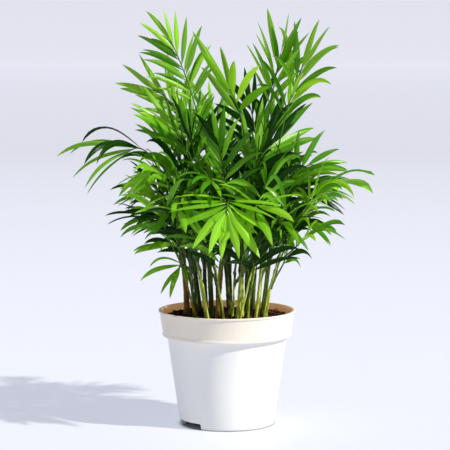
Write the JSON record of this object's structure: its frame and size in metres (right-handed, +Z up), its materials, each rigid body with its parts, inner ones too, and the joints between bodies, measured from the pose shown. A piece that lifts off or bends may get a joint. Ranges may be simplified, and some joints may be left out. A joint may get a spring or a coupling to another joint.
{
  "type": "potted bamboo palm",
  "caption": "Young bamboo palm: a clump of slim ringed canes with arching feather fronds of pointed leaflets, planted in a white nursery pot with a deep rim band.",
  "frame": {"origin": "centre of the pot's flat underside, on the surface it stands on", "axes": "+Z up along the pot's axis, +Y away from the picture's camera, +X to the picture's right"},
  "size_m": [0.2976, 0.2545, 0.3935],
  "materials": {
    "pot": "satin off-white moulded plastic",
    "soil": "dark brown crumbly potting mix, matt",
    "cane": "smooth green cane with pale rings, satin",
    "frond": "fresh green leaflets, satin"
  },
  "bodies": {
    "root": {"pot": "pot", "soil": "soil", "cane_01": "cane", "cane_02": "cane", "cane_03": "cane", "cane_04": "cane", "cane_05": "cane", "cane_06": "cane", "cane_07": "cane", "cane_08": "cane", "cane_09": "cane", "cane_10": "cane", "cane_11": "cane", "cane_12": "cane", "cane_13": "cane", "cane_14": "cane", "cane_15": "cane", "cane_16": "cane", "cane_17": "cane", "frond_01": "frond", "frond_02": "frond", "frond_03": "frond", "frond_04": "frond", "frond_05": "frond", "frond_06": "frond", "frond_07": "frond", "frond_08": "frond", "frond_09": "frond", "frond_10": "frond", "frond_11": "frond", "frond_12": "frond", "frond_13": "frond", "frond_14": "frond", "frond_15": "frond", "frond_16": "frond", "frond_17": "frond", "frond_18": "frond", "frond_19": "frond", "frond_20": "frond", "frond_21": "frond", "frond_22": "frond", "frond_23": "frond", "frond_24": "frond", "frond_25": "frond", "frond_26": "frond", "frond_27": "frond", "frond_28": "frond", "frond_29": "frond", "frond_30": "frond", "frond_31": "frond", "frond_32": "frond", "frond_33": "frond", "frond_34": "frond", "frond_35": "frond", "frond_36": "frond", "frond_37": "frond", "frond_38": "frond", "frond_39": "frond", "frond_40": "frond"}
  },
  "joints": []
}
